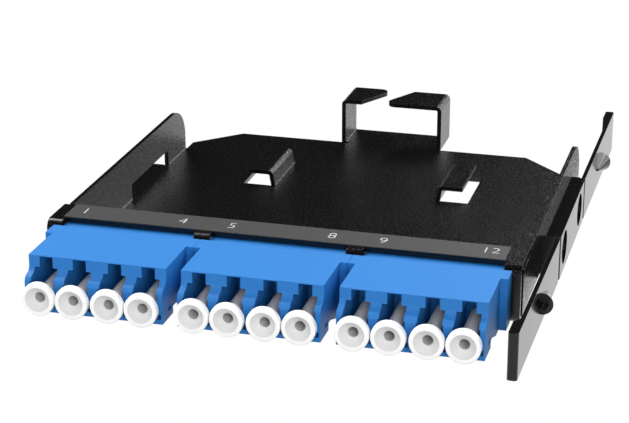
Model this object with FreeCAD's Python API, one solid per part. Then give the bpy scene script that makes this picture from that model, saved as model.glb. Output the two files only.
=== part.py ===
import FreeCAD, Part
import math
import os

# Driving dimensions, in millimetres and degrees

# Folded steel sheet
sheet = 0.9
bend_inner = 0.3
panel_bend = 0.8

# Tray
wall_margin = 1.145
tray_height = 10.8
floor_length = 86.5
wall_length = 73.5
wall_corner = 7.0
left_chamfer = 8.9
right_chamfer = 11.9
fold_relief = 0.35

# Front panel with its top return
return_depth = 8.9
left_overhang = 0.85
right_inset = 0.15
cutout_setback = 2.3
cutout_play = 0.15

# Runner tabs lanced out of the left wall
tab_length = 22.4
tab_starts = (4.1, 39.7)
tab_reach = 3.8
window_rise = 3.2

# Cable clips lanced out of the floor
clip_root = 16.8
clip_span = 5.75
clip_hole_margin = 1.2
clip_start = 55.1
clip_length = 15.7
clip_rise = 3.1
clip_angle = 80.0

# Rear cable hook
hook_left = 10.7
hook_right = 11.65
hook_depth = 9.8
hook_slot_width = 4.8
hook_slot_front = -3.95
hook_slot_rear = 1.2
hook_tip_radius = 1.7
hook_relief = 0.45

# Port label
label_thickness = 0.12
label_front = 2.45
label_left_margin = 2.45
label_right_margin = 3.35

# Adapters
adapter_count = 3
adapter_gap = 0.05
adapter_shift = -0.6
port_pitch = 6.25
pair_pitch = 6.59
front_width = 25.65
flange_margin = 1.335
flange_depth = 4.0
front_reach = 17.2
lip_depth = 2.35
lip_top = 1.85
lip_height = 2.6
adapter_drop = 0.5
adapter_top_gap = 0.75
rear_inset = 0.225
rear_reach = 11.3
rear_clearance = 0.2
axis_height = 3.18
port_bore = 4.7
shoulder_width = 4.27
shoulder_drop = 2.2
latch_slot = 2.45
slot_skin = 0.2
web_half = 2.4
foot_slot = 5.9
foot_slot_height = 1.0
foot_slot_depth = 2.0
heel_length = 5.55
recess_rise = 1.28
recess_flat = 1.35
recess_length = 5.05
recess_depth = 0.68
recess_skin = 0.25
notch_length = 1.9
notch_height = 0.9
notch_depth = 0.35
notch_back = 3.1
notch_lift = 1.25

# Split alignment sleeves
sleeve_bore = 1.25
sleeve_outer = 1.62
sleeve_length = 6.8
sleeve_split = 0.3
sleeve_play = 0.06
sleeve_sides = 8

# Side springs that lock an adapter behind the panel
spring_sheet = 0.25
spring_length = 6.0
spring_height = 3.8
spring_flare = 0.6
spring_bend = 2.4
spring_gap = 0.1

# Dust caps
cap_head = 6.1
cap_head_depth = 1.35
cap_stand = 2.43
dish_rim = 4.56
dish_floor = 1.9
dish_depth = 1.37
dish_hole_depth = 4.2
stem_width = 2.8
stem_gap = 0.2
pin_reach = 2.2
pin_clearance = 0.05

# Side latch
latch_height = 8.5
latch_thickness = 3.6
block_start = 22.0
block_length = 33.5
arm_thickness = 0.8
arm_reach = 45.0
tip_length = 5.0
tip_thickness = 1.8
tip_radius = 0.6
front_taper = 1.2
rear_taper = 9.0
front_lean = 0.45
rear_lean = -0.3
hinge_inset = 0.3
hinge_clearance = 0.05
hinge_relief = 0.3
hinge_groove = 1.7
detent_radius = 2.05
detent_length = 5.6
detent_nose = 0.3
detent_core = 1.1
detent_core_depth = 1.6
detent_height = 3.75
front_detent = 20.8
rear_detent = 24.8

# Latch rivets
rivet_start = 5.45
rivet_end = 7.7
rivet_height = 4.55
rivet_shank = 2.5
rivet_play = 0.05
rivet_head = 4.4
rivet_head_depth = 0.5
rivet_tail = 4.0
rivet_tail_depth = 2.1
counterbore = 6.4
counterbore_depth = 1.3

# Places worked out from the driving dimensions
V = FreeCAD.Vector
bend_outer = bend_inner + sheet
panel_outer = panel_bend + sheet
flange_width = front_width + 2 * flange_margin
rear_width = front_width - 2 * rear_inset
adapter_pitch = flange_width + adapter_gap
tray_width = adapter_count * adapter_pitch + 2 * wall_margin
half_width = tray_width / 2
floor_half = half_width - bend_outer
panel_left = -half_width - left_overhang
panel_right = half_width - right_inset
return_under = tray_height - sheet
window_top = sheet + window_rise
cutout_width = rear_width + 2 * cutout_play
first_adapter = adapter_shift - (adapter_count - 1) / 2 * adapter_pitch
adapter_centres = [first_adapter + step * adapter_pitch for step in range(adapter_count)]
port_offsets = [-pair_pitch / 2 - port_pitch, -pair_pitch / 2, pair_pitch / 2, pair_pitch / 2 + port_pitch]
adapter_base = sheet - adapter_drop
adapter_top = tray_height - adapter_top_gap
rear_base = sheet + rear_clearance
rear_top = return_under - rear_clearance
port_axis = adapter_base + axis_height
port_floor = port_axis - port_bore / 2
shoulder_level = adapter_top - shoulder_drop
flange_middle = -flange_depth / 2
sleeve_front = flange_middle - sleeve_length / 2
sleeve_rear = flange_middle + sleeve_length / 2
sleeve_seat = sleeve_outer + 2 * sleeve_play
lip_front = -front_reach
heel_end = lip_front + heel_length
upper_front = lip_front + lip_depth
cap_front = lip_front - cap_stand
cap_back = cap_front + cap_head_depth
stem_end = sleeve_front - stem_gap
latch_outer = half_width + latch_thickness
arm_inner = latch_outer - arm_thickness
arm_middle = latch_outer - arm_thickness / 2
block_end = block_start + block_length
front_hinge = block_start + hinge_inset
rear_hinge = block_end - hinge_inset
rivet_hole = rivet_shank / 2 + rivet_play
rivet_places = [block_start + rivet_start, block_end - rivet_end]


def box(x0, x1, y0, y1, z0, z1):
    """Block between two opposite corners."""
    return Part.makeBox(x1 - x0, y1 - y0, z1 - z0, V(x0, y0, z0))


def rod(radius, length, base, direction):
    """Round bar from a base point along a direction."""
    return Part.makeCylinder(radius, length, base, direction)


def place_yz(u, v):
    """Point of an outline drawn in the Y-Z plane."""
    return V(0, u, v)


def place_xy(u, v):
    """Point of an outline drawn in the X-Y plane."""
    return V(u, v, 0)


def place_xz(u, v):
    """Point of an outline drawn in the X-Z plane."""
    return V(u, 0, v)


def outline_face(place, steps):
    """Face inside an outline of points, where a pair of points is an arc's middle and end."""
    edges = []
    here = place(*steps[0])
    for step in steps[1:] + steps[:1]:
        is_arc = isinstance(step[0], tuple)
        there = place(*(step[1] if is_arc else step))
        if is_arc:
            edges.append(Part.Arc(here, place(*step[0]), there).toShape())
        elif here.distanceToPoint(there) > 0:
            edges.append(Part.makeLine(here, there))
        here = there
    return Part.Face(Part.Wire(edges))


def slab(place, steps, start, depth):
    """Outline pushed along the axis that is square to its plane."""
    along = V(1, 1, 1) - place(1, 1)
    face = outline_face(place, steps)
    face.translate(along * start)
    return face.extrude(along * depth)


def join(solids):
    """One solid out of pieces that share faces."""
    return solids[0].multiFuse(solids[1:]).removeSplitter()


def bend_along_y(x, z, side, lift, start, end):
    """Quarter bend whose line runs along Y, on one side of its centre and above or below it."""
    tube = rod(bend_outer, end - start, V(x, start, z), V(0, 1, 0))
    hollow = rod(bend_inner, end - start, V(x, start, z), V(0, 1, 0))
    far_x = x + side * bend_outer
    far_z = z + lift * bend_outer
    quarter = box(min(x, far_x), max(x, far_x), start, end, min(z, far_z), max(z, far_z))
    return tube.cut(hollow).common(quarter)


def panel_fold(y, z, lift, start, end):
    """Quarter fold of the front panel, in front of its centre line and above or below it."""
    tube = rod(panel_outer, end - start, V(start, y, z), V(1, 0, 0))
    hollow = rod(panel_bend, end - start, V(start, y, z), V(1, 0, 0))
    far_z = z + lift * panel_outer
    quarter = box(start, end, y - panel_outer, y, min(z, far_z), max(z, far_z))
    return tube.cut(hollow).common(quarter)


def tray_floor():
    """Flat floor with its cut rear corners and a slit behind each end of the front fold."""
    fold_end = panel_outer + fold_relief
    steps = [
        (panel_left, panel_outer),
        (panel_right, panel_outer),
        (panel_right, panel_outer + fold_relief / 2),
        (floor_half, panel_outer + fold_relief / 2),
        (floor_half, fold_end),
        (floor_half, floor_length - right_chamfer),
        (floor_half - right_chamfer, floor_length),
        (left_chamfer - floor_half, floor_length),
        (-floor_half, floor_length - left_chamfer),
        (-floor_half, panel_outer + fold_relief / 2),
        (panel_left, panel_outer + fold_relief / 2),
    ]
    return slab(place_xy, steps, 0, sheet)


def side_wall(side):
    """Wall folded up along one side, stepped down in front to pass under the return."""
    front = panel_outer + fold_relief
    step_at = return_depth + fold_relief
    step_top = return_under - fold_relief
    corner = wall_corner * (1 - math.sqrt(0.5))
    steps = [
        (front, bend_outer),
        (wall_length, bend_outer),
        (wall_length, tray_height - wall_corner),
        ((wall_length - corner, tray_height - corner), (wall_length - wall_corner, tray_height)),
        (step_at, tray_height),
        (step_at, step_top),
        (front, step_top),
    ]
    inner = half_width - sheet
    wall = slab(place_yz, steps, inner if side > 0 else -half_width, sheet)
    bend = bend_along_y(side * floor_half, bend_outer, side, -1, front, wall_length)
    return [wall, bend]


def front_panel():
    """Panel folded up from the floor with a return folded back along its top."""
    upper = tray_height - panel_outer
    width = (panel_left, panel_right)
    return [
        panel_fold(panel_outer, panel_outer, -1, *width),
        box(*width, 0, sheet, panel_outer, upper),
        panel_fold(panel_outer, upper, 1, *width),
        box(*width, panel_outer, return_depth, return_under, tray_height),
    ]


def adapter_cutouts():
    """Openings for the adapters, run out through both folds of the panel."""
    half = cutout_width / 2
    return [box(x - half, x + half, 0, cutout_setback, 0, tray_height) for x in adapter_centres]


def runner_window(start):
    """Window left in the wall by a runner tab."""
    return box(-half_width, -floor_half, start, start + tab_length, 0, window_top)


def runner_tab(start):
    """Runner tab that stays flat with the floor and reaches out through its window."""
    outer = -half_width - tab_reach
    return box(outer, -floor_half, start + fold_relief, start + tab_length - fold_relief, 0, sheet)


def clip_profile():
    """Section of a cable clip: a double bend up from the floor and a flat tongue."""
    turn = math.radians(clip_angle)
    middle = bend_inner + sheet / 2
    slope = (clip_rise - 2 * middle * (1 - math.cos(turn))) / math.sin(turn)
    run = 2 * middle * math.sin(turn) + slope * math.cos(turn)
    low = (0, bend_outer)
    high = (run, clip_rise + sheet - bend_outer)

    def lower(radius, angle):
        return (low[0] + radius * math.sin(angle), low[1] - radius * math.cos(angle))

    def upper(radius, angle):
        return (high[0] - radius * math.sin(angle), high[1] + radius * math.cos(angle))

    return [
        (0, 0),
        (lower(bend_outer, turn / 2), lower(bend_outer, turn)),
        upper(bend_inner, turn),
        (upper(bend_inner, turn / 2), upper(bend_inner, 0)),
        (clip_span, clip_rise),
        (clip_span, clip_rise + sheet),
        upper(bend_outer, 0),
        (upper(bend_outer, turn / 2), upper(bend_outer, turn)),
        lower(bend_inner, turn),
        (lower(bend_inner, turn / 2), lower(bend_inner, 0)),
    ]


def cable_clip(side):
    """Cable clip on one side, open away from the middle."""
    steps = [mirror_step(step, side) for step in clip_profile()]
    return slab(place_xz, steps, clip_start + fold_relief, clip_length - 2 * fold_relief)


def mirror_step(step, side):
    """Outline step set out from the clip's root on one side."""
    if isinstance(step[0], tuple):
        return tuple(mirror_step(point, side) for point in step)
    return (side * (clip_root + step[0]), step[1])


def clip_hole(side):
    """Opening that a cable clip leaves in the floor."""
    ends = sorted((side * clip_root, side * (clip_root + clip_span + clip_hole_margin)))
    return box(*ends, clip_start, clip_start + clip_length, 0, sheet)


def cable_hook():
    """Tongue at the rear with two posts whose tops fold towards each other."""
    start = floor_length
    end = floor_length + hook_depth
    upper = tray_height - bend_outer
    tongue = (bend_outer - hook_left, hook_right - bend_outer)
    pieces = [box(*tongue, start - sheet, end, 0, sheet)]
    for side, outer in ((-1, -hook_left), (1, hook_right)):
        x = outer - side * bend_outer
        post = sorted((outer, outer - side * sheet))
        pieces.append(bend_along_y(x, bend_outer, side, -1, start, end))
        pieces.append(box(*post, start, end, bend_outer, upper))
        pieces.append(bend_along_y(x, upper, side, 1, start, end))
    pieces.append(box(*tongue, start, end, return_under, tray_height).cut(hook_slot()))
    return pieces


def hook_slot():
    """Slanted slot between the hook's two top flaps, with rounded flap tips."""
    start = floor_length
    end = floor_length + hook_depth
    half = hook_slot_width / 2
    steps = [
        (hook_slot_front - half, start),
        (hook_slot_front + half, start),
        (hook_slot_rear + half, end),
        (hook_slot_rear - half, end),
    ]
    return slab(place_xy, steps, return_under, sheet)


def round_hook_tips(solid):
    """Rounds the two sharp flap tips beside the slanted slot."""
    half = hook_slot_width / 2
    tips = [(hook_slot_front + half, floor_length), (hook_slot_rear - half, floor_length + hook_depth)]
    edges = []
    for edge in solid.Edges:
        ends = [vertex.Point for vertex in edge.Vertexes]
        upright = len(ends) == 2 and abs(ends[0].z - ends[1].z) > sheet / 2
        for x, y in tips:
            if upright and all(math.hypot(end.x - x, end.y - y) < sheet / 10 for end in ends):
                edges.append(edge)
    return solid.makeFillet(hook_tip_radius, edges)


def tray():
    """Whole tray: one folded sheet."""
    pieces = [tray_floor()] + front_panel() + cable_hook()
    pieces += side_wall(-1) + side_wall(1)
    body = join(pieces)
    cuts = adapter_cutouts() + [runner_window(start) for start in tab_starts]
    cuts += [clip_hole(-1), clip_hole(1)]
    for y in rivet_places:
        cuts.append(rod(rivet_hole, sheet, V(half_width - sheet, y, rivet_height), V(1, 0, 0)))
    for x in (bend_outer - hook_left, hook_right - bend_outer):
        ends = (x - hook_relief, x + hook_relief)
        cuts.append(box(*ends, floor_length - hook_relief, floor_length + hook_relief, 0, bend_outer))
    body = body.cut(cuts)
    body = join([body] + [runner_tab(start) for start in tab_starts] + [cable_clip(-1), cable_clip(1)])
    return round_hook_tips(body)


def port_label():
    """Printed strip on top of the return."""
    ends = (panel_left + label_left_margin, panel_right - label_right_margin)
    return box(*ends, label_front, return_depth, tray_height, tray_height + label_thickness)


def lip_steps():
    """Front edge of an adapter from its top to its foot, with the double curve of its lip."""
    top = adapter_top - lip_top
    foot = top - lip_height
    across = lip_depth / 2
    down = lip_height / 2
    radius = (across * across + down * down) / (2 * across)
    half_turn = math.asin(down / radius) / 2
    if across > radius:
        half_turn = (math.pi - math.asin(down / radius)) / 2
    drop = radius * math.sin(half_turn)
    inset = radius * (1 - math.cos(half_turn))
    return [
        (upper_front, adapter_top),
        (upper_front, top),
        ((upper_front - inset, top - drop), (upper_front - across, top - down)),
        ((lip_front + inset, foot + drop), (lip_front, foot)),
        (lip_front, adapter_base),
    ]


def port_cut(x, start, end, slot_top):
    """Stepped opening of one port: square bore, shoulder and latch slot."""
    bore = port_bore / 2
    return join([
        box(x - bore, x + bore, start, end, port_floor, port_axis + bore),
        box(x - shoulder_width / 2, x + shoulder_width / 2, start, end, port_axis, shoulder_level),
        box(x - latch_slot / 2, x + latch_slot / 2, start, end, port_axis, slot_top),
    ])


def flat_sided_bar(width, sides, x, start, end):
    """Bar along a port's axis with an even number of flats, measured from flat to flat."""
    turn = 2 * math.pi / sides
    corner = width / 2 / math.cos(turn / 2)
    steps = []
    for side in range(sides):
        angle = turn * (side + 0.5)
        steps.append((x + corner * math.cos(angle), port_axis + corner * math.sin(angle)))
    return slab(place_xz, steps, start, end - start)


def sleeve_seats(centre):
    """Seats for one adapter's four alignment sleeves, through the webs of both halves."""
    web = (flange_middle - web_half, flange_middle + web_half)
    return [flat_sided_bar(sleeve_seat, sleeve_sides, centre + x, *web) for x in port_offsets]


def recess_steps(top):
    """Recess in an adapter's underside behind its heel, up to a level, with a sloped rear end."""
    slope = (recess_length - recess_flat) / recess_rise
    back = heel_end + recess_length
    return [
        (heel_end, adapter_base),
        (heel_end, top),
        (back - slope * (top - adapter_base), top),
        (back, adapter_base),
    ]


def side_cuts(face, side):
    """Notch in one side of an adapter's front, and the recess where it rises beside the ports."""
    low = adapter_base + notch_lift
    start = lip_front + notch_back
    ends = sorted((face, face - side * notch_depth))
    notch = box(*ends, start, start + notch_length, low, low + notch_height)
    inner = min(face, face - side * recess_depth)
    recess = slab(place_yz, recess_steps(adapter_base + recess_rise), inner, recess_depth)
    return [notch, recess]


def foot_slots(centre):
    """Wide low slot at the mouth of each front port."""
    half = foot_slot / 2
    depth = (lip_front, lip_front + foot_slot_depth)
    height = (port_floor, port_floor + foot_slot_height)
    return [box(centre + x - half, centre + x + half, *depth, *height) for x in port_offsets]


def front_housing(centre):
    """Front half of an adapter: four ports behind a curved lip, and half of the flange."""
    web = flange_middle - web_half
    steps = lip_steps() + recess_steps(port_floor - recess_skin)
    steps += [(flange_middle, adapter_base), (flange_middle, adapter_top)]
    body = slab(place_yz, steps, centre - front_width / 2, front_width)
    half = flange_width / 2
    flange = box(centre - half, centre + half, -flange_depth, flange_middle, adapter_base, adapter_top)
    body = join([body, flange])
    for x in port_offsets:
        body = body.cut(port_cut(centre + x, lip_front, web, adapter_top - slot_skin))
    body = body.cut(foot_slots(centre))
    for side in (-1, 1):
        body = body.cut(side_cuts(centre + side * front_width / 2, side))
    return body.cut(sleeve_seats(centre))


def rear_housing(centre):
    """Rear half of an adapter, behind the panel, with the other half of the flange."""
    web = flange_middle + web_half
    half = rear_width / 2
    body = box(centre - half, centre + half, flange_middle, rear_reach, rear_base, rear_top)
    half = flange_width / 2
    flange = box(centre - half, centre + half, flange_middle, 0, adapter_base, adapter_top)
    body = join([body, flange])
    for x in port_offsets:
        body = body.cut(port_cut(centre + x, web, rear_reach, rear_top - slot_skin))
    return body.cut(sleeve_seats(centre))


def alignment_sleeves(centre):
    """Four split sleeves that line up the plugs of one adapter."""
    sleeves = []
    for offset in port_offsets:
        x = centre + offset
        tube = flat_sided_bar(sleeve_outer, sleeve_sides, x, sleeve_front, sleeve_rear)
        bore = flat_sided_bar(sleeve_bore, sleeve_sides, x, sleeve_front, sleeve_rear)
        ends = (x - sleeve_split / 2, x + sleeve_split / 2)
        split = box(*ends, sleeve_front, sleeve_rear, port_axis, port_axis + sleeve_outer)
        sleeves.append(tube.cut(bore).cut(split))
    return Part.makeCompound(sleeves)


def side_springs(centre):
    """Pair of leaf springs on an adapter's sides that catch behind the panel."""
    start = sheet + spring_gap
    middle = (rear_base + rear_top) / 2
    springs = []
    for side in (-1, 1):
        root = centre + side * rear_width / 2
        steps = [
            (root, start + spring_length),
            (root, start + spring_bend),
            (root + side * spring_flare, start),
            (root + side * (spring_flare + spring_sheet), start),
            (root + side * spring_sheet, start + spring_bend),
            (root + side * spring_sheet, start + spring_length),
        ]
        springs.append(slab(place_xy, steps, middle - spring_height / 2, spring_height))
    return Part.makeCompound(springs)


def dust_cap(x):
    """Push-in cap: a dished round head, a round stem and a square pin held by the sleeve."""
    dish_back = cap_front + dish_depth
    steps = [
        (0, dish_back + dish_hole_depth),
        (dish_floor / 2, dish_back + dish_hole_depth),
        (dish_floor / 2, dish_back),
        (dish_rim / 2, cap_front),
        (cap_head / 2, cap_front),
        (cap_head / 2, cap_back),
        (stem_width / 2, cap_back),
        (stem_width / 2, stem_end),
        (0, stem_end),
    ]
    turned = outline_face(place_xy, steps).revolve(V(0, 0, 0), V(0, 1, 0), 360)
    turned.translate(V(x, 0, port_axis))
    half = (sleeve_bore / 2 - pin_clearance) * math.sqrt(0.5)
    across = (x - half, x + half)
    pin = box(*across, stem_end, stem_end + pin_reach, port_axis - half, port_axis + half)
    return join([turned, pin])


def hinge_seat(y, way):
    """Space in the block for the root of a release arm."""
    seat = rod(arm_thickness / 2 + hinge_clearance, latch_height, V(arm_middle, y, 0), V(0, 0, 1))
    ends = sorted((y, y + way * latch_thickness))
    mouth = box(arm_inner - hinge_relief, latch_outer, *ends, 0, latch_height)
    return join([seat, mouth])


def groove(y):
    """Groove in the latch's outer face along the front of a hinge line."""
    return box(arm_middle, latch_outer, y - hinge_groove, y, 0, latch_height)


def latch_block():
    """Middle of the side latch, riveted to the right wall through two counterbores."""
    block = box(half_width, latch_outer, block_start, block_end, 0, latch_height)
    block = block.cut([hinge_seat(front_hinge, -1), hinge_seat(rear_hinge, 1), groove(rear_hinge)])
    for y in rivet_places:
        through = rod(rivet_hole, latch_thickness, V(half_width, y, rivet_height), V(1, 0, 0))
        sunk_at = V(latch_outer - counterbore_depth, y, rivet_height)
        sunk = rod(counterbore / 2, counterbore_depth, sunk_at, V(1, 0, 0))
        block = block.cut(through).cut(sunk)
    return block


def detent(y, way):
    """Half cone on an arm's outer face, with its flat cored end turned along the arm."""
    base = V(latch_outer, y, detent_height)
    cone = Part.makeCone(detent_radius, detent_nose, detent_length, base, V(0, -way, 0))
    core = rod(detent_core, detent_core_depth, base, V(0, -way, 0))
    ends = sorted((y, y - way * detent_length))
    outside = box(latch_outer, latch_outer + 2 * detent_radius, *ends, 0, latch_height)
    return cone.cut(core).common(outside)


def release_arm(hinge, way, taper, detent_at, lean):
    """Springy arm from its hinge line to a thick tip, running forward or back and leaning inwards."""
    tip = hinge + way * arm_reach
    thick = tip - way * tip_length
    thin = thick - way * taper
    tip_inner = latch_outer - tip_thickness
    arc = tip_radius * (1 - math.sqrt(0.5))
    steps = [
        (arm_inner, hinge),
        (arm_inner, thin),
        (tip_inner, thick),
        (tip_inner, tip - way * tip_radius),
        ((tip_inner + arc, tip - way * arc), (tip_inner + tip_radius, tip)),
        (latch_outer - tip_radius, tip),
        ((latch_outer - arc, tip - way * arc), (latch_outer, tip - way * tip_radius)),
        (latch_outer, hinge),
    ]
    arm = slab(place_xy, steps, 0, latch_height).cut(groove(hinge))
    root = rod(arm_thickness / 2, latch_height, V(arm_middle, hinge, 0), V(0, 0, 1))
    whole = join([arm, root, detent(hinge + way * detent_at, way)])
    whole.rotate(V(arm_middle, hinge, 0), V(0, 0, way), lean)
    return whole


def latch_rivets():
    """Two rivets with a flat head in the block and a flat tail inside the wall."""
    inner = half_width - sheet
    tail = inner - rivet_tail_depth
    seat = latch_outer - counterbore_depth
    head = seat + rivet_head_depth
    steps = [
        (tail, 0),
        (tail, rivet_tail / 2),
        (inner, rivet_tail / 2),
        (inner, rivet_shank / 2),
        (seat, rivet_shank / 2),
        (seat, rivet_head / 2),
        (head, rivet_head / 2),
        (head, 0),
    ]
    rivet = outline_face(place_xz, steps).revolve(V(0, 0, 0), V(1, 0, 0), 360)
    return Part.makeCompound([rivet.translated(V(0, y, rivet_height)) for y in rivet_places])


def nodes():
    """Every sub-part by its name."""
    parts = {"tray": tray(), "port_label": port_label()}
    for number, centre in enumerate(adapter_centres, 1):
        parts["adapter_%d_front_housing" % number] = front_housing(centre)
        parts["adapter_%d_rear_housing" % number] = rear_housing(centre)
        parts["adapter_%d_sleeves" % number] = alignment_sleeves(centre)
        parts["adapter_%d_side_springs" % number] = side_springs(centre)
    places = [centre + offset for centre in adapter_centres for offset in port_offsets]
    for number, x in enumerate(places, 1):
        parts["dust_cap_%02d" % number] = dust_cap(x)
    parts["latch_block"] = latch_block()
    parts["front_release_arm"] = release_arm(front_hinge, -1, front_taper, front_detent, front_lean)
    parts["rear_release_arm"] = release_arm(rear_hinge, 1, rear_taper, rear_detent, rear_lean)
    parts["latch_rivets"] = latch_rivets()
    return parts


os.makedirs("parts", exist_ok=True)
for name, shape in nodes().items():
    shape.exportStep("parts/%s.step" % name)
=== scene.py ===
import math

import bmesh
import bpy
from bpy.props import FloatProperty, FloatVectorProperty, PointerProperty
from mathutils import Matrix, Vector


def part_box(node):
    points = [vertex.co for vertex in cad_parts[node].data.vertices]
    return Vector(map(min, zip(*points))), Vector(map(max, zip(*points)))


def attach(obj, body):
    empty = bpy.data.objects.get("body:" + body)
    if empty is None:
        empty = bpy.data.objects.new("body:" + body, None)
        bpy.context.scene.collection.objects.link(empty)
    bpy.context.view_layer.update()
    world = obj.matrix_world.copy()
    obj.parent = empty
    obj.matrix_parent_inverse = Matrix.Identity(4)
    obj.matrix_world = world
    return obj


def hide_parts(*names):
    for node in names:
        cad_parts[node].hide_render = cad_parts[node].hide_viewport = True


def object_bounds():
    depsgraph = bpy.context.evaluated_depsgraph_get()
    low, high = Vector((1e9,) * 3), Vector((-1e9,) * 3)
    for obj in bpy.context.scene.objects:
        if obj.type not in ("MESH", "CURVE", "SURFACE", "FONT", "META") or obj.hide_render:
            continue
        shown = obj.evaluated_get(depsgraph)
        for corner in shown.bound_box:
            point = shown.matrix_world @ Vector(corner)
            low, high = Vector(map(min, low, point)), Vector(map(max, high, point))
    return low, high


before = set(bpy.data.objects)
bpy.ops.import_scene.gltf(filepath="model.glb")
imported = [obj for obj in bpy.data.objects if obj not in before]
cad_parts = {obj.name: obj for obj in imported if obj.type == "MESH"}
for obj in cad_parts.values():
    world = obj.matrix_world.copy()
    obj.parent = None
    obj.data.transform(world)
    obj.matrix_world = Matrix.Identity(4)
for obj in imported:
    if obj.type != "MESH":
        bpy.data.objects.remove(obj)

bl_info = {
    "name": "Fibre adapter panel",
    "version": (1, 0, 0),
    "blender": (4, 5, 0),
    "location": "View3D > Sidebar > Fibre Panel",
    "description": "Dresses the folded tray, its adapters, dust caps and side latch",
    "category": "Add Mesh",
}

MM = 0.001
CAD_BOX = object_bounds()
ADAPTERS = (1, 2, 3)
CAPS = range(1, 13)
# Corners of loose triangles that lie closer than this are one corner
WELD_GAP = 0.002 * MM
# Faces that meet at less than the flat angle are made one, and edges past the sharp angle are rounded
FLAT_ANGLE = math.radians(0.5)
SHARP_ANGLE = math.radians(35)


def linear(hex_colour):
    """Linear colour, with full alpha, of an sRGB hex value."""
    values = [int(hex_colour[i : i + 2], 16) / 255 for i in (1, 3, 5)]
    return tuple(v / 12.92 if v <= 0.04045 else ((v + 0.055) / 1.055) ** 2.4 for v in values) + (1.0,)


# Sizes and colours that a user would change


def length_property(name, description, millimetres):
    """Length that shows in the scene's unit."""
    return FloatProperty(
        name=name, description=description, default=millimetres * MM, min=0, unit="LENGTH", precision=5
    )


def colour_property(name, description, hex_colour):
    """Colour swatch with an sRGB default."""
    return FloatVectorProperty(
        name=name, description=description, default=linear(hex_colour), size=4, min=0, max=1, subtype="COLOR"
    )


class FibrePanelSizes(bpy.types.PropertyGroup):
    """Lengths of what is added to the solids."""

    sheet_edge: length_property("Sheet edge", "Radius that the powder coat leaves on the sheet's edges", 0.1)
    moulded_edge: length_property("Moulded edge", "Radius on the edges of the mouldings", 0.09)
    number_height: length_property("Number height", "Height of the port numbers", 2.5)
    number_ink: length_property("Number ink", "Thickness of the printed numbers", 0.012)
    number_trim: length_property("Number trim", "Width taken off each side of a number's strokes", 0.085)
    cap_rim: length_property("Cap rim", "Radius on the rim of a dust cap", 0.2)


class FibrePanelColours(bpy.types.PropertyGroup):
    """Colours of the finishes."""

    powder: colour_property("Powder coat", "Black powder coat of the tray", "#050505")
    label: colour_property("Label", "Grey film of the port label", "#262626")
    ink: colour_property("Ink", "White ink of the port numbers", "#CACACA")
    housing: colour_property("Housing", "Blue of the adapters", "#1E6FB7")
    cap: colour_property("Cap", "White of the dust caps", "#F6F6F6")
    # Painted shade: the dish colour is a greyer copy of the cap's white that stands for the shade in the
    # caps' dished fronts
    dish: colour_property("Dish", "Matt tone of the caps' dished fronts", "#DCDCDC")
    bore: colour_property("Bore", "Shaded tone inside the caps' holes", "#BEBEBE")
    # Painted shade with a beige tint: the stem colour is a duller copy of the cap's white that stands for the
    # shade on the stems inside the ports
    stem: colour_property("Stem", "Duller tone of the caps' stems", "#F4ECE2")
    latch: colour_property("Latch", "Black of the side latch", "#0E0E0F")
    rivet: colour_property("Rivet", "Black oxide of the rivets", "#1B1B1C")
    bronze: colour_property("Bronze", "Phosphor bronze of the split sleeves", "#B98A5A")
    steel: colour_property("Steel", "Bright steel of the side springs", "#B9BBBD")
    floor: colour_property("Floor", "Pale floor that the panel lies on", "#969696")


# Steps that the materials share


def add_node(tree, kind, inputs=None, **settings):
    """Shader node with its settings, each input a plain value or another node's output."""
    node = tree.nodes.new(kind)
    for name, value in settings.items():
        setattr(node, name, value)
    for name, value in (inputs or {}).items():
        if isinstance(value, bpy.types.NodeSocket):
            tree.links.new(value, node.inputs[name])
        else:
            node.inputs[name].default_value = value
    return node


def new_material(name, colour):
    """Empty node material with its viewport colour."""
    material = bpy.data.materials.new(name)
    material.use_nodes = True
    material.node_tree.nodes.clear()
    material.diffuse_color = colour
    return material, material.node_tree


def object_place(tree):
    """Coordinates that stay with the piece."""
    return add_node(tree, "ShaderNodeTexCoord").outputs["Object"]


def noise(tree, place, width, detail=1.0):
    """Noise whose grains are about as wide as the given millimetres."""
    inputs = {"Vector": place, "Scale": 1 / (width * MM), "Detail": detail}
    return add_node(tree, "ShaderNodeTexNoise", inputs).outputs["Fac"]


def ranged(tree, value, low, high, start=0.0, end=1.0):
    """Value that goes from low to high while the input goes from start to end."""
    inputs = {"Value": value, "From Min": start, "From Max": end, "To Min": low, "To Max": high}
    return add_node(tree, "ShaderNodeMapRange", inputs).outputs["Result"]


def toned(tree, colour, value):
    """Colour made darker or lighter by a value."""
    return add_node(tree, "ShaderNodeHueSaturation", {"Color": colour, "Value": value}).outputs["Color"]


def bumped(tree, height, strength, depth):
    """Surface normal that follows a height of the given depth in millimetres."""
    inputs = {"Height": height, "Strength": strength, "Distance": depth * MM}
    return add_node(tree, "ShaderNodeBump", inputs).outputs["Normal"]


def close_material(tree, inputs):
    """Principled shader with its inputs, joined to the material's output."""
    shader = add_node(tree, "ShaderNodeBsdfPrincipled", inputs)
    add_node(tree, "ShaderNodeOutputMaterial", {"Surface": shader.outputs["BSDF"]})


# Materials


def powder_coat(name, colour, depth):
    """Baked polyester powder on steel: satin black with a fine pebbled grain that breaks up reflections."""
    material, tree = new_material(name, colour)
    # The powder's grain is about 0.1 mm wide and is drawn at 0.3 mm so that it shows
    grain = noise(tree, object_place(tree), width=0.3)
    # The crests of the grain are lighter and glossy, and the pits between them are black and matt
    crest = ranged(tree, grain, low=0.5, high=2.5, start=0.4, end=0.7)
    inputs = {
        "Base Color": toned(tree, colour, crest),
        "Roughness": ranged(tree, grain, low=0.29, high=0.11, start=0.4, end=0.6),
        "IOR": 1.52,
        "Specular IOR Level": 0.38,
        "Normal": bumped(tree, grain, strength=1.0, depth=depth),
    }
    close_material(tree, inputs)
    return material


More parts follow.
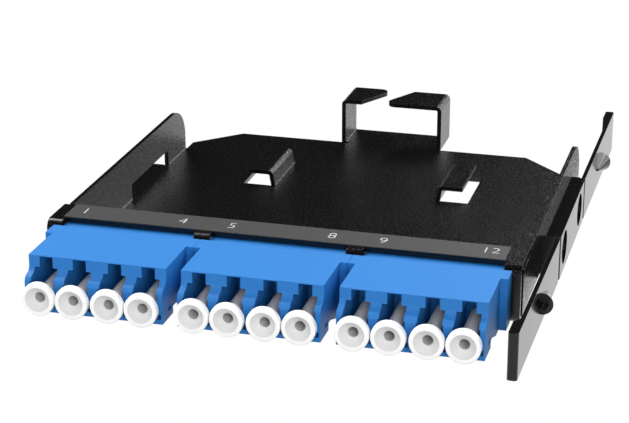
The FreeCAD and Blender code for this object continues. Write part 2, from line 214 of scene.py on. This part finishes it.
def label_film(colour):
    """Matt polyester film: even grey with a very fine tooth."""
    material, tree = new_material("matt_polyester_film", colour)
    # The film's tooth is a few hundredths of a millimetre and is drawn at 0.25 mm so that it shows
    tooth = noise(tree, object_place(tree), width=0.25, detail=2.0)
    inputs = {
        "Base Color": toned(tree, colour, ranged(tree, tooth, low=0.7, high=1.3)),
        "Roughness": 0.47,
        "IOR": 1.5,
        "Specular IOR Level": 0.8,
    }
    close_material(tree, inputs)
    return material


def printed_ink(colour):
    """Screen-printed white ink: matt and slightly uneven."""
    material, tree = new_material("screen_printed_ink", colour)
    # Thin spots that the mesh of the screen leaves, some 0.2 mm apart
    cover = noise(tree, object_place(tree), width=0.2)
    tint = toned(tree, colour, ranged(tree, cover, low=0.88, high=1.0))
    close_material(tree, {"Base Color": tint, "Roughness": 0.6})
    return material


def moulded_plastic(name, colour, roughness, grain_depth, spread):
    """Injection-moulded thermoplastic: even colour, faint flow of tone and the fine texture of the mould."""
    material, tree = new_material(name, colour)
    place = object_place(tree)
    # Spark-eroded mould texture, about 0.05 mm wide and drawn at 0.2 mm so that it shows
    grain = noise(tree, place, width=0.2)
    # Melt flow changes the tone a little over some 6 mm
    flow = noise(tree, place, width=6)
    inputs = {
        "Base Color": toned(tree, colour, ranged(tree, flow, low=1 - spread, high=1 + spread)),
        "Roughness": roughness,
        "IOR": 1.42,
        "Normal": bumped(tree, grain, strength=0.15, depth=grain_depth),
    }
    close_material(tree, inputs)
    return material


def bare_metal(name, colour, roughness):
    """Drawn or rolled metal: bright, with fine lines along the strip."""
    material, tree = new_material(name, colour)
    # Rolling lines, some 0.1 mm apart and drawn out twenty times along Y
    along = {"Vector": object_place(tree), "Scale": (1.0, 0.05, 1.0)}
    stretched = add_node(tree, "ShaderNodeMapping", along).outputs["Vector"]
    lines = noise(tree, stretched, width=0.1, detail=2.0)
    # The lines change the roughness by this much either way
    change = 0.06
    gloss = ranged(tree, lines, low=roughness - change, high=roughness + change)
    close_material(tree, {"Base Color": colour, "Metallic": 1.0, "Roughness": gloss})
    return material


def studio_floor(colour):
    """Seamless paper: pale to the light that it scatters, plain white to the eye and in reflections."""
    material, tree = new_material("studio_paper", colour)
    path = add_node(tree, "ShaderNodeLightPath").outputs
    seen = path["Is Camera Ray"]
    for ray in ("Is Glossy Ray", "Is Transmission Ray"):
        seen = add_node(tree, "ShaderNodeMath", {0: seen, 1: path[ray]}, operation="MAXIMUM").outputs["Value"]
    paper = add_node(tree, "ShaderNodeBsdfDiffuse", {"Color": colour})
    white = add_node(tree, "ShaderNodeEmission", {"Color": (1.0, 1.0, 1.0, 1.0), "Strength": 1.0})
    shares = {0: seen, 1: paper.outputs["BSDF"], 2: white.outputs["Emission"]}
    mix = add_node(tree, "ShaderNodeMixShader", shares)
    add_node(tree, "ShaderNodeOutputMaterial", {"Surface": mix.outputs["Shader"]})
    return material


# Shared mesh work


def shade_by_area(mesh):
    """Smooth shading in which large faces stay flat and the small ones beside them bend to meet them."""
    around = {}
    for face in mesh.polygons:
        face.use_smooth = True
        for vertex in face.vertices:
            around.setdefault(vertex, []).append(face)
    limit = math.cos(SHARP_ANGLE)
    normals = []
    for face in mesh.polygons:
        for vertex in face.vertices:
            near = [other for other in around[vertex] if other.normal.dot(face.normal) > limit]
            total = sum((other.normal * other.area for other in near), Vector())
            normals.append(total.normalized())
    mesh.normals_split_custom_set(normals)


def dress_node(node, material):
    """Gives its finish to a solid whose shape stays as it is."""
    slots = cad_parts[node].data.materials
    slots.clear()
    slots.append(material)


def finish_piece(bm, name, materials, body, replaced=()):
    """Object of a finished mesh that rides on a body and takes its finish from a slot."""
    mesh = bpy.data.meshes.new(name)
    bm.to_mesh(mesh)
    bm.free()
    shade_by_area(mesh)
    for material in materials:
        mesh.materials.append(material)
    piece = bpy.data.objects.new(name, mesh)
    bpy.context.scene.collection.objects.link(piece)
    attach(piece, body)
    if replaced:
        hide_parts(*replaced)
    return piece


def welded_copy(node):
    """Copy of a solid's mesh with its loose triangles welded and its flat faces made whole."""
    bm = bmesh.new()
    bm.from_mesh(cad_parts[node].data)
    bmesh.ops.remove_doubles(bm, verts=bm.verts, dist=WELD_GAP)
    bmesh.ops.dissolve_limit(bm, angle_limit=FLAT_ANGLE, verts=bm.verts, edges=bm.edges)
    return bm


def bevel_edges(bm, edges, radius, segments):
    """Rounds edges by a radius."""
    bmesh.ops.bevel(
        bm,
        geom=edges,
        offset=radius,
        offset_type="OFFSET",
        affect="EDGES",
        segments=segments,
        profile=0.5,
        material=-1,
        clamp_overlap=True,
    )


def rounded_piece(node, radius, materials, body):
    """Piece that stands for a solid, with the small radius that its sharp edges really have."""
    bm = welded_copy(node)
    sharp = [e for e in bm.edges if len(e.link_faces) == 2 and e.calc_face_angle() > SHARP_ANGLE]
    bevel_edges(bm, sharp, radius, segments=2)
    return finish_piece(bm, node + "_finished", materials, body, (node,))


# Operators, one for each piece or group of like pieces


class FIBREPANEL_OT_tray(bpy.types.Operator):
    """Folded steel tray in black powder coat"""

    bl_idname = "fibrepanel.tray"
    bl_label = "Folded tray"

    # Depth of the powder's grain in millimetres, less on the front folds, where the film is drawn thin
    grain_depth = 0.08
    fold_grain_depth = 0.012
    # Faces nearer to the front than this belong to the front folds and take the second finish
    fold_reach = 2.4 * MM
    fold_finish = 1

    def execute(self, context):
        sizes = context.scene.fibre_panel_sizes
        colour = tuple(context.scene.fibre_panel_colours.powder)
        coat = powder_coat("polyester_powder_coat", colour, self.grain_depth)
        thin = powder_coat("polyester_powder_on_front_folds", colour, self.fold_grain_depth)
        piece = rounded_piece("tray", sizes.sheet_edge, (coat, thin), "panel")
        for face in piece.data.polygons:
            if face.center.y < self.fold_reach:
                face.material_index = self.fold_finish
        return {"FINISHED"}


class FIBREPANEL_OT_label(bpy.types.Operator):
    """Grey port label and the white numbers printed on it"""

    bl_idname = "fibrepanel.label"
    bl_label = "Port label"

    # Port numbers with the place of each one's middle in millimetres
    numbers = (
        ("1", -39.1, 6.1),
        ("4", -20.0, 5.9),
        ("5", -10.6, 5.9),
        ("8", 8.3, 5.8),
        ("9", 17.7, 5.9),
        ("12", 37.1, 6.25),
    )
    # Height of a figure as a share of the font's size
    figure_share = 0.69

    def execute(self, context):
        sizes = context.scene.fibre_panel_sizes
        colours = context.scene.fibre_panel_colours
        dress_node("port_label", label_film(tuple(colours.label)))
        ink = printed_ink(tuple(colours.ink))
        for text, x, y in self.numbers:
            self.print_number(text, x * MM, y * MM, sizes, ink)
        return {"FINISHED"}

    def print_number(self, text, x, y, sizes, ink):
        """Number laid on the label and given the thickness of its ink."""
        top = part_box("port_label")[1].z
        curve = bpy.data.curves.new("number_" + text, "FONT")
        curve.body = text
        curve.size = sizes.number_height / self.figure_share
        curve.align_x = "CENTER"
        curve.extrude = sizes.number_ink / 2
        curve.offset = -sizes.number_trim
        sketch = bpy.data.objects.new(curve.name, curve)
        bpy.context.scene.collection.objects.link(sketch)
        drawn = sketch.evaluated_get(bpy.context.evaluated_depsgraph_get())
        bm = bmesh.new()
        bm.from_mesh(bpy.data.meshes.new_from_object(drawn))
        bmesh.ops.remove_doubles(bm, verts=bm.verts, dist=WELD_GAP)
        bmesh.ops.recalc_face_normals(bm, faces=bm.faces)
        shift = Vector((x, y - sizes.number_height / 2, top + sizes.number_ink / 2))
        bmesh.ops.translate(bm, verts=bm.verts, vec=shift)
        bpy.data.objects.remove(sketch)
        finish_piece(bm, "port_number_" + text, (ink,), "panel")


class FIBREPANEL_OT_adapters(bpy.types.Operator):
    """Front and rear housings of the blue adapters, with their sleeves and side springs"""

    bl_idname = "fibrepanel.adapters"
    bl_label = "Adapters"

    def execute(self, context):
        sizes = context.scene.fibre_panel_sizes
        colours = context.scene.fibre_panel_colours
        blue = moulded_plastic(
            "blue_polyester_moulding", tuple(colours.housing), roughness=0.5, grain_depth=0.01, spread=0.02
        )
        bronze = bare_metal("phosphor_bronze", tuple(colours.bronze), roughness=0.25)
        steel = bare_metal("rolled_spring_steel", tuple(colours.steel), roughness=0.3)
        for number in ADAPTERS:
            for half in ("front", "rear"):
                node = "adapter_%d_%s_housing" % (number, half)
                rounded_piece(node, sizes.moulded_edge, (blue,), "panel")
            dress_node("adapter_%d_sleeves" % number, bronze)
            dress_node("adapter_%d_side_springs" % number, steel)
        return {"FINISHED"}


class FIBREPANEL_OT_caps(bpy.types.Operator):
    """White dust caps in the front ports"""

    bl_idname = "fibrepanel.caps"
    bl_label = "Dust caps"

    # Name, colour, roughness, depth of grain in millimetres and spread of tone of each finish
    finishes = (
        ("white_polyethylene_moulding", "cap", 0.38, 0.01, 0.01),
        # Painted shade with a beige tint on the stems inside the ports
        ("rubbed_polyethylene_stem", "stem", 0.6, 0.02, 0.06),
        # Painted shade in the dished fronts
        ("matt_polyethylene_dish", "dish", 0.6, 0.03, 0.05),
        # Painted shade in the caps' holes
        ("matt_polyethylene_bore", "bore", 0.6, 0.03, 0.05),
    )
    # Places of the last three in that list, the first being the head's
    stem_finish = 1
    dish_finish = 2
    bore_finish = 3
    # A face nearer to the axis than this belongs to the hole
    bore_reach = 1.0 * MM
    # A corner past this share of the head's radius lies on its rim
    rim_share = 0.98
    # A face whose normal has more than this along +Y looks to the rear
    rear_share = 0.5

    def execute(self, context):
        sizes = context.scene.fibre_panel_sizes
        colours = context.scene.fibre_panel_colours
        materials = []
        for name, colour, *values in self.finishes:
            materials.append(moulded_plastic(name, tuple(getattr(colours, colour)), *values))
        for number in CAPS:
            node = "dust_cap_%02d" % number
            bm = welded_copy(node)
            self.round_rim(bm, node, sizes.cap_rim)
            finish_piece(bm, node + "_finished", materials, "cap_%02d" % number, (node,))
        return {"FINISHED"}

    def round_rim(self, bm, node, radius):
        """Marks the faces of a cap's stem, dished front and hole, and rounds the outer rim of its head."""
        low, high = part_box(node)
        axis = (low + high) / 2
        reach = (high.x - low.x) / 2 * self.rim_share
        outer = {v for v in bm.verts if self.from_axis(axis, v.co).length > reach}
        rear = max(v.co.y for v in outer) + WELD_GAP
        # The stem, dish and hole faces are marked for the darker copies of the cap's white that paint shade
        # on them
        for face in bm.faces:
            middle = face.calc_center_median()
            way = self.from_axis(axis, middle)
            lean = face.normal.dot(way)
            if middle.y > rear and (face.normal.y > self.rear_share or lean > WELD_GAP):
                face.material_index = self.stem_finish
            elif middle.y > rear or lean < -WELD_GAP:
                face.material_index = self.bore_finish if way.length < self.bore_reach else self.dish_finish
        rims = [e for e in bm.edges if outer.issuperset(e.verts) and e.calc_face_angle() > SHARP_ANGLE]
        bevel_edges(bm, rims, radius, segments=3)

    def from_axis(self, axis, point):
        """Way from a cap's axis, which runs along Y, to a point."""
        return Vector((point.x - axis.x, 0, point.z - axis.z))


class FIBREPANEL_OT_latch(bpy.types.Operator):
    """Side latch with its two release arms, and the rivets that hold it"""

    bl_idname = "fibrepanel.latch"
    bl_label = "Side latch"

    # Solids of the latch with the body that each one moves with
    mouldings = (
        ("latch_block", "panel"),
        ("front_release_arm", "front_arm"),
        ("rear_release_arm", "rear_arm"),
    )

    def execute(self, context):
        sizes = context.scene.fibre_panel_sizes
        colours = context.scene.fibre_panel_colours
        black = moulded_plastic(
            "black_acetal_moulding", tuple(colours.latch), roughness=0.12, grain_depth=0.002, spread=0.03
        )
        dark = moulded_plastic(
            "black_oxide_rivet", tuple(colours.rivet), roughness=0.35, grain_depth=0.01, spread=0.03
        )
        for node, body in self.mouldings:
            rounded_piece(node, sizes.moulded_edge, (black,), body)
        rounded_piece("latch_rivets", sizes.moulded_edge, (dark,), "panel")
        return {"FINISHED"}


class FIBREPANEL_OT_stage(bpy.types.Operator):
    """Pale floor, soft studio lamps and the camera"""

    bl_idname = "fibrepanel.stage"
    bl_label = "Stage"

    # Places and lengths in metres, apart from the lens and the sensor, which are in millimetres
    camera_place = (0.08916, -0.30417, 0.13610)
    camera_target = (0.00109, 0.0200, 0.00969)
    camera_clip = 0.01
    camera_lens = 109.46
    sensor_width = 36.0
    floor_drop = 0.2 * MM
    floor_half = 4.0
    world_grey = "#202020"
    # Name, place, size and power of each lamp, all aimed near the middle of the panel
    lamps = (
        ("overhead", (-0.9, 0.35, 1.05), 0.9, 26.0),
        ("rear_high", (0.27, 0.88, 0.86), 0.7, 7.2),
        ("front_right", (0.42, -1.02, 0.42), 0.8, 12.0),
        ("front_left", (-0.92, -0.72, 0.42), 0.8, 4.5),
        ("rear_right", (0.63, 0.8, 0.5), 0.9, 9.8),
    )
    lamp_target = (0.0, 0.035, 0.0)

    def execute(self, context):
        scene = context.scene
        scene.view_settings.view_transform = "Standard"
        self.lay_floor(scene)
        self.hang_lamps(scene)
        self.light_world(scene)
        self.place_camera(scene)
        return {"FINISHED"}

    def lay_floor(self, scene):
        """Large pale floor just under the panel."""
        bm = bmesh.new()
        bmesh.ops.create_grid(bm, x_segments=1, y_segments=1, size=self.floor_half)
        bmesh.ops.translate(bm, verts=bm.verts, vec=Vector((0, 0, CAD_BOX[0].z - self.floor_drop)))
        mesh = bpy.data.meshes.new("studio_floor")
        bm.to_mesh(mesh)
        bm.free()
        mesh.materials.append(studio_floor(tuple(scene.fibre_panel_colours.floor)))
        floor = bpy.data.objects.new("studio_floor", mesh)
        scene.collection.objects.link(floor)

    def hang_lamps(self, scene):
        """Soft square lamps round the panel."""
        for name, place, size, power in self.lamps:
            data = bpy.data.lights.new(name, "AREA")
            data.shape = "SQUARE"
            data.size = size
            data.energy = power
            self.set_up(scene, name, data, place, self.lamp_target)

    def light_world(self, scene):
        """Dim even surroundings."""
        world = bpy.data.worlds.new("studio")
        world.use_nodes = True
        world.node_tree.nodes["Background"].inputs["Color"].default_value = linear(self.world_grey)
        scene.world = world

    def place_camera(self, scene):
        """Camera at the photograph's angle."""
        data = bpy.data.cameras.new("camera")
        data.lens = self.camera_lens
        data.sensor_width = self.sensor_width
        data.clip_start = self.camera_clip
        scene.camera = self.set_up(scene, "camera", data, self.camera_place, self.camera_target)

    def set_up(self, scene, name, data, place, target):
        """Lamp or camera put in its place and aimed at a target."""
        item = bpy.data.objects.new(name, data)
        item.location = place
        aim = Vector(target) - Vector(place)
        item.rotation_euler = aim.to_track_quat("-Z", "Y").to_euler()
        scene.collection.objects.link(item)
        return item


class FIBREPANEL_PT_sidebar(bpy.types.Panel):
    """Lists the steps that dress the panel, with the sizes and colours they use"""

    bl_label = "Fibre Panel"
    bl_space_type = "VIEW_3D"
    bl_region_type = "UI"
    bl_category = "Fibre Panel"

    def draw(self, context):
        for group in (context.scene.fibre_panel_sizes, context.scene.fibre_panel_colours):
            for name in group.__annotations__:
                self.layout.prop(group, name)
        for operator in OPERATORS:
            self.layout.operator(operator.bl_idname)


OPERATORS = (
    FIBREPANEL_OT_tray,
    FIBREPANEL_OT_label,
    FIBREPANEL_OT_adapters,
    FIBREPANEL_OT_caps,
    FIBREPANEL_OT_latch,
    FIBREPANEL_OT_stage,
)
CLASSES = (FibrePanelSizes, FibrePanelColours) + OPERATORS + (FIBREPANEL_PT_sidebar,)


def register():
    """Adds the classes and the scene's settings."""
    for cls in CLASSES:
        bpy.utils.register_class(cls)
    bpy.types.Scene.fibre_panel_sizes = PointerProperty(type=FibrePanelSizes)
    bpy.types.Scene.fibre_panel_colours = PointerProperty(type=FibrePanelColours)


def unregister():
    """Takes them out again."""
    del bpy.types.Scene.fibre_panel_colours
    del bpy.types.Scene.fibre_panel_sizes
    for cls in reversed(CLASSES):
        bpy.utils.unregister_class(cls)


def main():
    """Builds every piece and the stage."""
    register()
    for name in ("tray", "label", "adapters", "caps", "latch", "stage"):
        getattr(bpy.ops.fibrepanel, name)()


if __name__ == "__main__":
    main()
